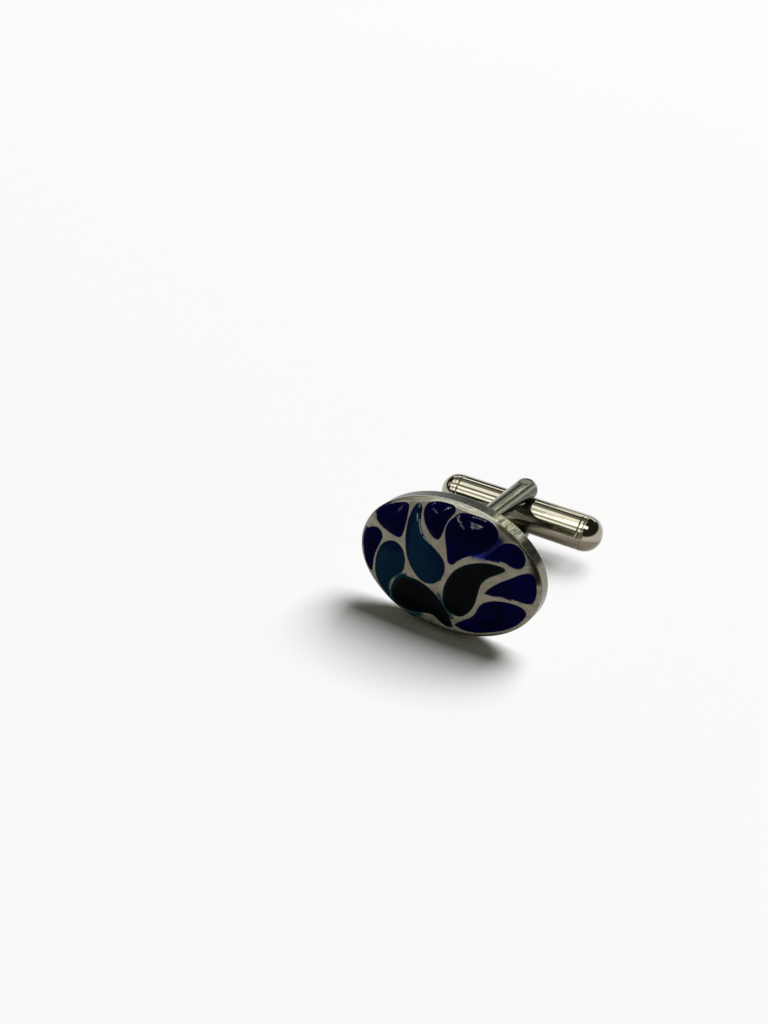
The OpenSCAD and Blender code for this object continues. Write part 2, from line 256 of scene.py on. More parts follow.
def castMetal(b):
    s = metalLooks
    a, h, rise = oval["halfLength"], oval["halfHeight"], oval["crownRise"]
    own = b.ownMm()
    x, y, z = b.parts(own)
    wide, fine, grit = (b.grain(own, *s[name]) for name in ("wide", "fine", "grit"))
    uneven, speckled = wide - 0.5, fine - 0.5
    # mm behind the crowned front, angle round the oval, share of the way out to the rim
    depth = (oval["rimThick"] + rise - rise / a ** 2 * (x * x + z * z)) + y
    turn = b.math("ARCTAN2", z * (1 / h), x * (1 / a))
    outward = b.math("SQRT", x * x * (1 / a ** 2) + z * z * (1 / h ** 2))
    front = b.smooth(depth, *s["frontDeep"], 1, 0)
    back = b.smooth(y, -0.16, -0.05)

    # the walls are worn, and dark in their hollows and pits
    hollow = b.smooth(b.wallDistance() + (grit - 0.5) * 0.08, 0.0, s["hollowReach"], 1, 0) * front
    pits = b.smooth(fine * 0.7 + grit * 0.3, 0.58, 0.70) * front
    worn = b.smooth(wide * 0.45 + fine * 0.55, 0.38, 0.62)
    body = b.tint(worn, s["worn"], s["base"])

    # the side has short marks, a smoky patch and is darker along its top
    marks = b.grain(b.vector(turn * s["marks"], y * 0.3, 0), 1.0, 4, 0.7)
    marksWide = b.grain(b.vector(turn * s["wideMarks"], y * 0.5, 3), 1.0, 3, 0.6)
    sideMarks = b.smooth(marks * 0.7 + marksWide * 0.3, 0.40, 0.60)
    ticks = b.band(turn, *s["tickSpan"])
    smoked = b.band(turn, *s["smokeSpan"]) * (0.95 - 0.35 * sideMarks)
    side = b.tint(sideMarks * (0.55 + 0.45 * ticks), s["sideDark"], s["sideLight"])
    side = b.tint(b.smooth(turn, *s["plainUnder"], 1, 0) * 0.8, side, s["sidePlain"])
    side = b.tint(b.band(turn, *s["topSpan"]) * (0.97 - 0.15 * sideMarks), side, s["topSide"])
    side = b.tint(smoked, side, s["smoke"])
    side = b.tint(ticks * sideMarks * 0.8, side, s["sideBright"])

    # the flat back is wiped along the oval
    wiped = b.grain(b.vector(x * 0.35, 0, z * 7), 1.0, 4, 0.65)
    wear = b.smooth(wiped * 0.7 + wide * 0.3, 0.36, 0.64)
    outside = b.tint(back, side, b.tint(wear, s["backDark"], s["backLight"]))
    paint = b.tint(front, outside, body)
    paint = b.tint(hollow * 0.75, paint, s["dark"])
    paint = b.tint(pits * 0.45, paint, s["dark"])

    # the rim is brushed round the oval, and a highlight is painted on the rounding of its upper edge
    brushed = b.grain(b.vector(turn * s["brushing"], x * 0.25, z * 0.25), 1.0, 4, 0.65)
    nearRim = b.smooth(outward, *s["nearRim"]) * front
    paint = b.tint(nearRim * b.smooth(brushed, 0.5, 0.62) * 0.5, paint, s["sideLight"])
    paint = b.tint(nearRim * b.smooth(brushed, 0.36, 0.48, 1, 0) * 0.5, paint, s["dark"])
    # painted highlight along the upper edge, broken up by the wear and the brushing
    upper = b.smooth(turn + 0.12 * uneven, *s["highlightFrom"])
    upper = upper * b.smooth(turn, *s["highlightTo"], 1, 0.1)
    highlight = b.smooth(outward, *s["rounding"]) * upper * b.smooth(depth, *s["highlightDeep"], 1, 0)
    paint = b.tint(highlight * (0.5 + 0.3 * worn + 0.4 * (brushed - 0.3)), paint, s["rimHighlight"])

    # a chipped patch, the patina at the upper right and the crack under it
    patch = runMask(b, x, z, chippedPatch, speckled * 0.5) * front
    paint = b.tint(patch * (0.6 + 0.35 * b.smooth(grit, 0.4, 0.6)), paint, s["dark"])
    patina = runMask(b, x, z, patinaRuns, uneven * 0.5) * front
    paint = b.tint(patina * 0.85, paint, s["smoke"])
    crack = b.smooth(abs(depth - s["crackDeep"] - 0.1 * uneven), *s["crackHalf"], 1, 0)
    crack = crack * b.band(turn, *s["crackSpan"]) * b.smooth(fine, 0.36, 0.44)
    paint = b.tint(crack * 0.85, paint, s["smoke"])
    soot = b.math("MAXIMUM", crack * 0.8, patina * 0.75)
    soot = b.math("MAXIMUM", soot, smoked * (1 - front) * (1 - back))

    # films of glass that ran over the walls
    teal, blue = (runMask(b, x, z, runs, speckled * 0.12) * front for runs in (tealRuns, blueRuns))
    paint = b.tint(teal * 0.92, paint, s["tealFilm"])
    blueFilm = b.tint(b.band(x, *s["blueGlow"]), s["blueDeep"], s["blueFilm"])
    paint = b.tint(blue * 0.97, paint, blueFilm)
    glazed = b.math("MAXIMUM", teal, blue)
    rough = s["roughness"] + 0.20 * speckled + 0.10 * uneven - 0.10 * (1 - front) - 0.16 * glazed
    height = ((fine * 0.7 + grit * 0.3 + wide * 0.6) * (1 - 0.7 * glazed)) * front
    scarred = (marks * 1.3 + marksWide * 0.6) * (1 - front) * (1 - back)
    height = height + scarred * (0.35 + 0.65 * b.smooth(turn, *s["scarredOver"]))
    height = height + wiped * back * 0.8
    return {"Base Color": paint, "Metallic": 1.0, "Roughness": rough,
            "Normal": b.bump(s["bump"], height), "soot": soot}


cobalt = {"deep": colour(0.0, 0.0, 0.012), "pool": colour(0.0003, 0.0002, 0.036),
          "thin": colour(0.0, 0.0008, 0.048), "speck": colour(0.0015, 0.001, 0.03),
          "bump": 0.01, "smoothest": 0.05, "dulling": 0.02, "specular": 0.012}
teal = {"plain": colour(0.001, 0.017, 0.040), "navy": colour(0.0003, 0.0045, 0.034),
        "lightStreak": colour(0.001, 0.022, 0.050), "darkStreak": colour(0.0, 0.004, 0.024),
        "paleStreak": colour(0.001, 0.028, 0.050), "silverStreak": colour(0.20, 0.26, 0.26),
        "leftEye": (-3.8, -4.3, 2.6), "middleEye": (1.6, 5.9, 2.4), "leftUntil": (-4.6, -4.1),
        "bump": 0.25, "smoothest": 0.05, "dulling": 0.03, "specular": 0.015}
black = {"deep": colour(0.0006, 0.0008, 0.0016), "pool": colour(0.0012, 0.0024, 0.0042),
         "thin": colour(0.0, 0.026, 0.034), "thinUntil": (-4.9, -2.2),
         "bump": 0.2, "smoothest": 0.06, "dulling": 0.03, "specular": 0.025}


def glassLook(b, s, own, paint, threads=None):
    # a glossy surface with a faint ripple
    ripple = b.grain(own, 1.1, 2, 0.5)
    height = ripple if threads is None else ripple + threads
    return {"Base Color": paint, "Metallic": 0.0, "Specular IOR Level": s["specular"],
            "Roughness": s["smoothest"] + s["dulling"] * ripple,
            "Normal": b.bump(s["bump"], height)}


def cobaltGlass(b):
    # deep fired glass, a little bluer where it thins towards the walls
    s = cobalt
    own = b.ownMm()
    pool = b.grain(own, 0.32, 3, 0.5, 0.4)
    speck = b.grain(own, 3.2, 4, 0.6)
    paint = b.tint(b.smooth(pool, 0.38, 0.66), s["deep"], s["pool"])
    paint = b.tint(b.smooth(b.wallDistance(), 0.05, 0.5, 1, 0) * 0.5, paint, s["thin"])
    paint = b.tint(b.smooth(speck, 0.56, 0.75) * 0.3, paint, s["speck"])
    return glassLook(b, s, own, paint)


def tealGlass(b):
    # two glasses drawn round into each other, with pale and silvery lines painted along one side
    s = teal
    own = b.ownMm()
    x, _, z = b.parts(own)
    sway = b.grain(own, 0.55, 3, 0.55)

    def ringsAbout(cx, cz, tight):
        offX, offZ = x - cx, z - cz
        away = b.math("SQRT", offX * offX + offZ * offZ)
        return b.grain(b.vector(away * tight + sway * 1.6, 0, 0.22 * x), 1.0, 4, 0.6)

    left = b.smooth(x, *s["leftUntil"], 1, 0)
    streaks = ringsAbout(*s["leftEye"]) * left + ringsAbout(*s["middleEye"]) * (1 - left)
    navy = b.smooth(z * 0.6 + x + (sway - 0.5) * 1.6, -3.2, 0.4) * (1 - left) + left * b.smooth(
        z + (sway - 0.5) * 1.2, -0.9, 0.4)
    paint = b.tint(navy, s["plain"], s["navy"])
    paint = b.tint(b.smooth(streaks, 0.46, 0.68) * 0.45, paint, s["lightStreak"])
    paint = b.tint(b.smooth(streaks, 0.34, 0.48, 1, 0) * 0.40, paint, s["darkStreak"])
    loose = (b.grain(own, 2.2, 2) - 0.5) * 0.05 - 0.015
    paint = b.tint(runMask(b, x, z, paleRuns, loose) * 0.7, paint, s["paleStreak"])
    paint = b.tint(runMask(b, x, z, silverRuns, loose) * 0.95, paint, s["silverStreak"])
    return glassLook(b, s, own, paint, streaks * 0.4)


def blackGlass(b):
    # black glass with a blue-green rim where it is thin, at the left
    s = black
    own = b.ownMm()
    pool = b.grain(own, 0.45, 3, 0.5, 0.4)
    paint = b.tint(b.smooth(pool, 0.4, 0.7), s["deep"], s["pool"])
    atLeft = b.smooth(b.parts(own)[0], *s["thinUntil"], 1, 0.15)
    paint = b.tint(b.smooth(b.wallDistance(), 0.02, 0.4, 1, 0) * atLeft, paint, s["thin"])
    return glassLook(b, s, own, paint)


# painted dark reflections: colours for the toggle's lower half and for the arms
# armMid: mm from the pin's middle to an arm's; ridge: angles round an arm that the painted dark
# leaves out
paintedShade = {"under": colour(0.195, 0.168, 0.125), "arm": colour(0.058, 0.064, 0.044), "armMid": 2.55,
           "ridge": (0.42, 0.62, 1.02, 1.25), "fullest": 0.94}
polish = {"along": 0.12, "across": 2.0, "wiped": (5.0, 5, 0.7), "clouded": (0.5, 3, 0.5),
          "bump": 0.12, "bumpReach": 0.00002}


def shadeUnderneath(b, x, z, cloud):
    # painted dark reflection on the toggle's lower half
    return b.smooth(z + 0.5 * (cloud - 0.5), -0.3, 0.15, 1, 0), paintedShade["under"]


def shadeBesideRidge(b, x, z, cloud):
    # painted dark reflection on all of an arm but the ridges halfway up its sides
    around = b.math("ARCTAN2", abs(z) - paintedShade["armMid"], abs(x)) + 0.5 * (cloud - 0.5)
    return (1 - b.band(around, *paintedShade["ridge"])) * paintedShade["fullest"], paintedShade["arm"]


def polished(base, dark, roughness, alongX, shadePainter=None):
    # plated and polished metal with faint wiping marks and clouding, and a painted dark reflection
    # where asked
    def make(b):
        s = polish
        own = b.ownMm()
        x, y, z = b.parts(own)
        stretchX, stretchY = (s["along"], s["across"]) if alongX else (s["across"], s["along"])
        wipe = b.grain(b.vector(x * stretchX, y * stretchY, z * s["across"]), *s["wiped"])
        cloud = b.grain(own, *s["clouded"])
        scratch = b.grain(b.vector(x * 0.5 + z * 0.8, y * 3, z * 5), 9.0, 2, 0.5)
        paint = b.tint(b.smooth(cloud, 0.3, 0.7) * 0.55, base, dark)
        # painted dark reflection over part of the piece
        if shadePainter:
            share, shade = shadePainter(b, x, z, cloud)
            paint = b.tint(share, paint, shade)
        scuff = b.smooth(scratch, 0.68, 0.78)
        rough = roughness + 0.05 * (wipe - 0.5) + 0.05 * scuff + 0.03 * (cloud - 0.5)
        bump = b.bump(s["bump"], wipe * 0.6 + cloud * 1.2, s["bumpReach"])
        return {"Base Color": paint, "Metallic": 1.0, "Roughness": rough, "Normal": bump}
    return make


faceMetal = finish("faceMetal", castMetal)
cobaltEnamel = finish("cobaltEnamel", cobaltGlass)
tealEnamel = finish("tealEnamel", tealGlass)
blackEnamel = finish("blackEnamel", blackGlass)
forkNickel = finish("forkNickel", polished(
    colour(0.31, 0.305, 0.24), colour(0.21, 0.207, 0.16), 0.17, False, shadeBesideRidge))
toggleNickel = finish("toggleNickel", polished(
    colour(0.42, 0.40, 0.325), colour(0.34, 0.33, 0.265), 0.09, True, shadeUnderneath))
pinMetal = finish("pinMetal", polished(
    colour(0.36, 0.35, 0.30), colour(0.26, 0.25, 0.21), 0.26, False))
springSteel = finish("springSteel", polished(
    colour(0.22, 0.25, 0.32), colour(0.30, 0.26, 0.20), 0.28, True))


def solderLook(b):
    # dull metal that flowed unevenly
    own = b.ownMm()
    flow = b.grain(own, 2.2, 4, 0.55)
    spot = b.grain(own, 9.0, 4, 0.6)
    paint = b.tint(b.smooth(spot, 0.35, 0.7), colour(0.24, 0.235, 0.20), colour(0.34, 0.335, 0.29))
    return {"Base Color": paint, "Metallic": 1.0, "Roughness": 0.30 + 0.2 * (flow - 0.5),
            "Normal": b.bump(0.5, flow + spot * 0.4)}


solderMetal = finish("solderMetal", solderLook)
print("finishes made")


class Shell:
    # points with their distances from the nearest wall, and triangles between them
    def __init__(self):
        self.points, self.wall, self.faces = [], [], []

    def add(self, points, wall=1.0):
        # returns the new points' numbers
        first = sum(map(len, self.points))
        self.points.append(points)
        self.wall.append(np.broadcast_to(wall, len(points)))
        return first + np.arange(len(points))

    def join(self, first, second):
        # two closed rings of point numbers
        ahead = np.roll(second, -1)
        self.faces += [np.stack([first, np.roll(first, -1), ahead], 1),
                       np.stack([first, ahead, second], 1)]

    def make(self, name, material):
        # leaves out the points that no face uses
        points, faces = np.concatenate(self.points), np.concatenate(self.faces)
        used = np.unique(faces)
        lookup = np.full(len(points), -1)
        lookup[used] = np.arange(len(used))
        mesh = bpy.data.meshes.new(name)
        mesh.from_pydata(points[used].tolist(), [], lookup[faces].tolist())
        mesh.transform(toRow)
        work = bmesh.new()
        work.from_mesh(mesh)
        bmesh.ops.recalc_face_normals(work, faces=work.faces)
        work.to_mesh(mesh)
        work.free()
        mesh.shade_smooth()
        mesh.materials.append(material)
        layer = mesh.attributes.new("wallDistance", "FLOAT", "POINT")
        layer.data.foreach_set("value", np.concatenate(self.wall)[used].astype(np.float32))
        return newObject(name, mesh)


def atDepth(flat, y):
    # 2-D points (x, z) placed at y, which is one number or one for each point
    return np.stack([flat[:, 0], np.broadcast_to(y, len(flat)), flat[:, 1]], 1)


def triangulate(rings, loose):
    # triangles over closed rings of 2-D points and loose points between; points keep their order
    points, edges = [], []
    for ring in rings:
        start = len(points)
        points += [Vector(p) for p in ring]
        edges += [(start + i, start + (i + 1) % len(ring)) for i in range(len(ring))]
    points += [Vector(p) for p in loose]
    _, _, faces, sources, _, _ = delaunay_2d_cdt(points, edges, [], 0, 1e-6, True)
    first = [min(s) if s else -1 for s in sources]
    if -1 in first:
        raise ValueError("two outlines cross")
    kept = np.array([[first[i] for i in f] for f in faces])
    flat = np.array([p[:] for p in points])
    a, b, c = (flat[kept[:, i]] for i in range(3))
    area = (b - a)[:, 0] * (c - a)[:, 1] - (b - a)[:, 1] * (c - a)[:, 0]
    kept = kept[np.abs(area) > 1e-9]
    area = area[np.abs(area) > 1e-9]
    kept[area < 0] = kept[area < 0][:, ::-1]
    return flat, kept


def within(points, ring):
    # which 2-D points lie inside a closed ring
    inside = np.zeros(len(points), bool)
    px, pz = points[:, 0], points[:, 1]
    for (ax, az), (bx, bz) in zip(ring, np.roll(ring, -1, 0)):
        if az != bz:
            crossed = ((az > pz) != (bz > pz)) & (px < (bx - ax) * (pz - az) / (bz - az) + ax)
            inside ^= crossed
    return inside


def outwards(ring):
    # unit normals of a closed ring, away from what it encloses
    along = np.roll(ring, -1, 0) - np.roll(ring, 1, 0)
    along /= np.linalg.norm(along, axis=1)[:, None]
    out = np.stack([along[:, 1], -along[:, 0]], 1)
    area = np.sum(ring[:, 0] * np.roll(ring[:, 1], -1) - np.roll(ring[:, 0], -1) * ring[:, 1])
    return out if area > 0 else -out


def nearest(points, rings, step=0.02):
    # distance from each point to the nearest of the closed rings
    dense = []
    for ring in rings:
        for a, b in zip(ring, np.roll(ring, -1, 0)):
            n = max(1, int(np.linalg.norm(b - a) / step))
            dense += [a + (b - a) * k / n for k in range(n)]
    tree = KDTree(len(dense))
    for i, p in enumerate(dense):
        tree.insert((p[0], p[1], 0), i)
    tree.balance()
    return np.array([tree.find((p[0], p[1], 0))[2] for p in points])


def cellOutline(node, floorY):
    # the closed outline of an enamel block on its cell's floor, from the CAD node
    work = bmesh.new()
    work.from_mesh(nodes[node].data)
    bmesh.ops.transform(work, matrix=toOwn, verts=work.verts)
    bmesh.ops.remove_doubles(work, verts=work.verts, dist=0.0005)
    floor = [f for f in work.faces if all(abs(v.co.y - floorY) < 0.01 for v in f.verts)]
    rim = {}
    for f in floor:
        for loop in f.loops:
            if sum(g in floor for g in loop.edge.link_faces) == 1:
                rim.setdefault(loop.vert.index, loop.link_loop_next.vert)
    work.verts.ensure_lookup_table()
    start = next(iter(rim))
    order, at = [], start
    while True:
        order.append(work.verts[at].co.xz[:])
        at = rim[at].index
        if at == start:
            break
    work.free()
    return np.array(order)


def resample(ring, step, cornerAngle=35):
    # points at even steps on a smooth curve through a ring, with its real corners kept
    n = len(ring)
    before, after = ring - np.roll(ring, 1, 0), np.roll(ring, -1, 0) - ring
    bend = np.degrees(np.abs(np.arctan2(before[:, 0] * after[:, 1] - before[:, 1] * after[:, 0],
                                        np.sum(before * after, 1))))
    corner = bend > cornerAngle
    out = []
    for i in range(n):
        p, q = ring[i], ring[(i + 1) % n]
        run = np.linalg.norm(q - p)
        tp = (q - p) if corner[i] else (q - ring[i - 1]) / 2
        tq = (q - p) if corner[(i + 1) % n] else (ring[(i + 2) % n] - p) / 2
        tp, tq = (t / max(np.linalg.norm(t), 1e-9) * run for t in (tp, tq))
        count = max(1, round(run / step))
        for k in range(count):
            t = k / count
            out.append((2 * t**3 - 3 * t**2 + 1) * p + (t**3 - 2 * t**2 + t) * tp
                       + (3 * t**2 - 2 * t**3) * q + (t**3 - t**2) * tq)
    return np.array(out)


cellFills = {
    "enamel_cobalt_upper_left": cobaltEnamel, "enamel_cobalt_far_left": cobaltEnamel,
    "enamel_teal_left": tealEnamel, "enamel_teal_middle": tealEnamel,
    "enamel_cobalt_top": cobaltEnamel, "enamel_cobalt_upper_right": cobaltEnamel,
    "enamel_cobalt_shoulder": cobaltEnamel,
    "enamel_black_right": blackEnamel, "enamel_black_left": blackEnamel,
    "enamel_cobalt_far_right": cobaltEnamel, "enamel_cobalt_lower_right": cobaltEnamel}


def crown(p):
    # height of the front over the back, in mm
    s = oval
    far = np.sum(np.asarray(p) ** 2, -1) / s["halfLength"] ** 2
    return s["rimThick"] + s["crownRise"] * (1 - far)


def wave(p, size, seed):
    return noise.noise((p[0] / size, p[1] / size, seed))


floorY = oval["cellDepth"] - oval["rimThick"]
outlines = {}
for node in cellFills:
    ring = resample(cellOutline(node, floorY), oval["outlineStep"])
    shift = np.array([oval["castWave"] * (wave(p, 0.45, 2) + 0.6 * wave(p, 0.16, 5)) for p in ring])
    outlines[node] = ring + outwards(ring) * shift[:, None]
print("cell outlines read:", sum(map(len, outlines.values())), "points")


def looseOver(area, rings, inset, gap, jitter=0.2):
    # a jittered triangular grid of points clear of the rings
    lo, hi = area
    pts = []
    row = 0
    z = lo[1]
    while z < hi[1]:
        x = lo[0] + (gap / 2 if row % 2 else 0)
        while x < hi[0]:
            pts.append([v + random.uniform(-jitter, jitter) * gap for v in (x, z)])
            x += gap
        z += gap * 0.87
        row += 1
    pts = np.array(pts)
    return pts[nearest(pts, rings) > inset]


# a ring of loose points keeps this share of its own distance from all outlines
clearShare = 0.8


def ovalEdge():
    # angles round the oval, its outline, the outline's normals and how far in the edge is rounded
    s = oval
    a, h = s["halfLength"], s["halfHeight"]
    turn = np.arange(s["aroundCount"]) * 2 * math.pi / s["aroundCount"]
    # even steps along the ellipse, near enough
    turn = turn + s["evenSteps"] * np.sin(2 * turn)
    outer = np.stack([a * np.cos(turn), h * np.sin(turn)], 1)
    out = np.stack([np.cos(turn) / a, np.sin(turn) / h], 1)
    out /= np.linalg.norm(out, axis=1)[:, None]
    # rounded less where a cell comes close
    room = nearest(outer, list(outlines.values()))
    r = np.clip(s["roundPerGap"] * room - s["roundLess"], s["leastRound"], s["edgeRound"])
    near = range(-s["evenOver"], s["evenOver"] + 1)
    r = np.min([np.roll(r, k) for k in near], axis=0)
    return turn, outer, out, np.mean([np.roll(r, k) for k in near], axis=0)


def ovalFront(shell, rim, out):
    s = oval
    cells = list(outlines.values())
    # loose points in rings beside the walls and the rim, and in a grid over the rest
    rings = [(ring + outwards(ring) * d, d) for ring in cells for d in s["cellRings"]]
    rings += [(rim[::2] - out[::2] * d, d) for d in s["rimRings"]]
    kept = [points[nearest(points, cells + [rim]) > clearShare * d] for points, d in rings]
    corner = np.array([s["halfLength"], s["halfHeight"]])
    kept.append(looseOver((-corner, corner), cells + [rim], s["inset"], s["frontGap"]))
    loose = np.concatenate(kept)
    loose = loose[within(loose, rim)]
    for ring in cells:
        loose = loose[~within(loose, ring)]

    # crowned, worn round at the walls and a little uneven
    flat, faces = triangulate([rim] + cells, loose)
    middles = flat[faces].mean(1)
    inCell = np.any([within(middles, ring) for ring in cells], axis=0)
    near = nearest(flat, cells)
    starts = np.cumsum([len(rim)] + [len(c) for c in cells])
    near[starts[0]:starts[-1]] = 0
    w = s["wallRound"]
    lack = np.clip(w - near, 0, w)
    drop = w - np.sqrt(w * w - lack * lack) + s["lipFall"] * np.exp(-(near / s["lipReach"]) ** 2)
    rough = np.array([s["longWave"] * wave(p, 0.5, 8) + s["shortWave"] * wave(p, 0.17, 9)
                      for p in flat])
    height = crown(flat) - drop + rough * np.clip(nearest(flat, [rim]) / s["rimCalm"], 0, 1)
    shell.add(atDepth(flat, -height), near)
    shell.faces.append(faces[~inCell][:, ::-1])

    # the cells' walls and floors
    floorOf = {}
    for start, ring in zip(starts, cells):
        upper = start + np.arange(len(ring))
        lower = shell.add(atDepth(ring, floorY), 0.0)
        floorOf.update(zip(upper, lower))
        shell.join(upper, lower)
    shell.faces.append(np.array([[floorOf[i] for i in f] for f in faces[inCell]]))


def ovalSide(shell, turn, outer, out, r):
    # the rounded front edge, the side with its fine marks, and the bevel down to the back's outline
    s = oval
    scar = []
    for t in turn:
        off = (math.degrees(t) - s["deepFrom"] + 180) % 360 - 180
        deep = s["sideWave"] + s["deepWave"] * math.exp(-(off / s["deepOver"]) ** 2)
        scar.append(deep * (noise.noise((t * 55, 0, 1)) + 0.8 * noise.noise((t * 115, 0, 4)) - 0.9))
    scar = np.minimum(scar, 0)
    top, bevel = crown(outer), s["backBevel"]
    levels = []         # inset, height, share of the marks
    for k in range(1, s["roundSteps"] + 1):
        q = math.radians(90 * k / s["roundSteps"])
        levels.append((r * (1 - math.sin(q)), top - r * (1 - math.cos(q)), math.sin(q) ** 2))
    for k in range(1, s["sideSteps"] + 1):
        share = k / s["sideSteps"]
        levels.append((0, (top - r) * (1 - share) + bevel * share, 1))
    for k in range(1, s["bevelSteps"] + 1):
        share = k / s["bevelSteps"]
        q = math.radians(90 * share)
        levels.append((bevel * (1 - math.cos(q)), bevel * (1 - math.sin(q)), 1 - share))
    last = np.arange(len(outer))
    for inset, level, share in levels:
        ring = outer - out * (inset - scar * share)[:, None]
        now = shell.add(atDepth(ring, -level))
        shell.join(last, now)
        last = now
    return ring, last


def ovalBack(shell, ring, last):
    # the flat back, with the seat of the fork's foot
    s = oval
    seat = stadium(fork["footRadius"] + solder["width"], fork["armMid"], s["seatCount"])
    loose = looseOver(s["backArea"], [ring, seat], s["inset"], s["backGap"])
    loose = loose[within(loose, ring) & ~within(loose, seat)]
    flat, faces = triangulate([ring, seat], loose)
    inSeat = within(flat[faces].mean(1), seat)
    n, m = len(ring), len(seat)
    ids = np.concatenate([last, shell.add(atDepth(flat[n:], 0))])
    shell.faces.append(ids[faces[~inSeat]])
    upper, lower = ids[n:n + m], shell.add(atDepth(seat, -fork["seatDepth"]))
    shell.join(upper, lower)
    floorOf = dict(zip(upper, lower))
    shell.faces.append(np.array([[floorOf[i] for i in f] for f in ids[faces[inSeat]]]))


def makeOval():
    turn, outer, out, r = ovalEdge()
    shell = Shell()
    ovalFront(shell, outer - out * r[:, None], out)
    ring, last = ovalSide(shell, turn, outer, out, r)
    ovalBack(shell, ring, last)
    made = shell.make("face_oval", faceMetal)
    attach(made, "face")
    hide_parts("face_base")
    print("oval:", len(made.data.polygons), "triangles")


enamel = {"under": 0.045, "dome": 0.31, "domeReach": 1.0, "blend": 0.25, "grow": 0.035,
          "floorLift": 0.02, "ripple": 0.0012, "edgeCalm": 0.3, "edgeRings": (0.05, 0.11, 0.19),
          "inset": 0.24, "gap": 0.095, "jitter": 0.04}
glassPieces = []


def softDistance(points, edge, blend):
    # distance to the edge without its small waves, rounded off where two walls are equally near
    near = nearest(points, [edge])
    weights = np.hanning(11)[1:-1]
    ring = sum(w * np.roll(edge, k, 0) for k, w in zip(range(-4, 5), weights)) / weights.sum()
    step = np.linalg.norm(np.roll(ring, -1, 0) - ring, axis=1)
    away = np.linalg.norm(points[:, None] - ring[None], axis=2)
    total = (np.exp(-away / blend) * step).sum(1) / (2 * blend)
    soft = np.maximum(-blend * np.log(np.maximum(total, 1e-9)), 0)
    part = np.exp(-(near / (0.6 * blend))**2)
    return part * near + (1 - part) * soft


def makeEnamel(node, ring, material):
    s = enamel
    edge = ring + outwards(ring) * s["grow"]
    loose = []
    for d in s["edgeRings"]:
        inner = edge - outwards(edge) * d
        inner = inner[within(inner, edge)]
        loose.append(inner[nearest(inner, [edge]) > clearShare * d])
    grid = looseOver((edge.min(0), edge.max(0)), [edge], s["inset"], s["gap"], s["jitter"])
    flat, faces = triangulate([edge], np.concatenate(loose + [grid[within(grid, edge)]]))
    faces = faces[within(flat[faces].mean(1), edge)]
    n = len(edge)
    d = nearest(flat, [edge])
    d[:n] = 0
    ripple = np.array([s["ripple"] * wave(p, 2.0, 6) for p in flat])
    swell = s["dome"] * (1 - np.exp(-softDistance(flat, edge, s["blend"]) / s["domeReach"]))
    front = crown(flat) - s["under"] + swell + ripple * np.clip(d / s["edgeCalm"], 0, 1)
    _, bottom = triangulate([edge], [])
    bottom = bottom[within(edge[bottom].mean(1), edge)]
    shell = Shell()
    upper = shell.add(atDepth(flat, -front), d)
    lower = shell.add(atDepth(edge, floorY - s["floorLift"]), 0.0)
    shell.faces.append(faces[:, ::-1])
    shell.join(upper[:n], lower)
    shell.faces.append(lower[bottom])
    made = shell.make(node.replace("enamel", "glass"), material)
    glassPieces.append(made)
    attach(made, "face")
    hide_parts(node)
    "_".join(node.split("_")[:2])
    return len(made.data.polygons)


def stadium(radius, reach, count):
    # a ring round two points at plus and minus reach
    ring = []
    for k in range(count):
        t = 2 * math.pi * (k + 0.5) / count
        shift = math.copysign(reach, math.sin(t))
        ring.append((radius * math.cos(t), radius * math.sin(t) + shift))
    return np.array(ring)


def newTree(name, values):
    # a geometry tree with an input for each value: its bench, the inputs' wires, the output node
    tree = bpy.data.node_groups.new(name, "GeometryNodeTree")
    tree.interface.new_socket("Geometry", in_out="INPUT", socket_type="NodeSocketGeometry")
    for label, value in values.items():
        kind = {float: "Float", int: "Int"}.get(type(value), "Material")
        tree.interface.new_socket(label, in_out="INPUT", socket_type="NodeSocket" + kind)
    tree.interface.new_socket("Geometry", in_out="OUTPUT", socket_type="NodeSocketGeometry")
    bench = Bench(tree)
    source = bench.add("NodeGroupInput", out=None)
    wires = {s.name: Wire(bench, s) for s in source.outputs if s.name}
    return bench, wires, bench.add("NodeGroupOutput", out=None)


def runTree(name, tree, values, mesh=None):
    # the plain mesh that a tree makes of a mesh, or of nothing, with its inputs set to the values
    start = newObject(name + "Start", mesh or bpy.data.meshes.new(name + "Start"))
    step = start.modifiers.new("make", "NODES")
    step.node_group = tree
    for item in tree.interface.items_tree:
        if item.item_type == "SOCKET" and item.in_out == "INPUT" and item.name in values:
            step[item.identifier] = values[item.name]
    result = start.evaluated_get(bpy.context.evaluated_depsgraph_get())
    plain = bpy.data.meshes.new_from_object(result)
    start.modifiers.remove(step)
    bpy.data.objects.remove(start)
    plain.name = name
    return newObject(name, plain)


def swollen(b, shape, amount):
    # every point moved along its normal
    step = b.add("ShaderNodeVectorMath", {0: b.add("GeometryNodeInputNormal"), "Scale": amount},
                 operation="SCALE")
    return b.add("GeometryNodeSetPosition", {"Geometry": shape, "Offset": step})


def outcome(bench, out, shape, material):
    # real, smooth and dressed geometry as the tree's output
    real = bench.add("GeometryNodeRealizeInstances", {"Geometry": shape})
    smooth = bench.add("GeometryNodeSetShadeSmooth", {"Geometry": real})
    dressed = bench.add("GeometryNodeSetMaterial", {"Geometry": smooth, "Material": material})
    bench.tree.links.new(dressed.socket, out.inputs[0])


# the fork in mm, with the flats filed on its ball ends and the size of the voxels it is made from
fork = {"armMid": 2.55, "armRadius": 1.35, "footRadius": 0.85, "noseY": 16.6, "seatDepth": 0.3,
        "slotHalf": 2.1, "bridge": 1.6, "filedZ": 3.7, "filedFrom": 15.0, "pinRadius": 0.65,
        "soften": 0.12, "crisp": 0.02, "filedEdge": 0.035, "filedCorner": 0.03, "flared": 0.05,
        "voxel": 0.062}


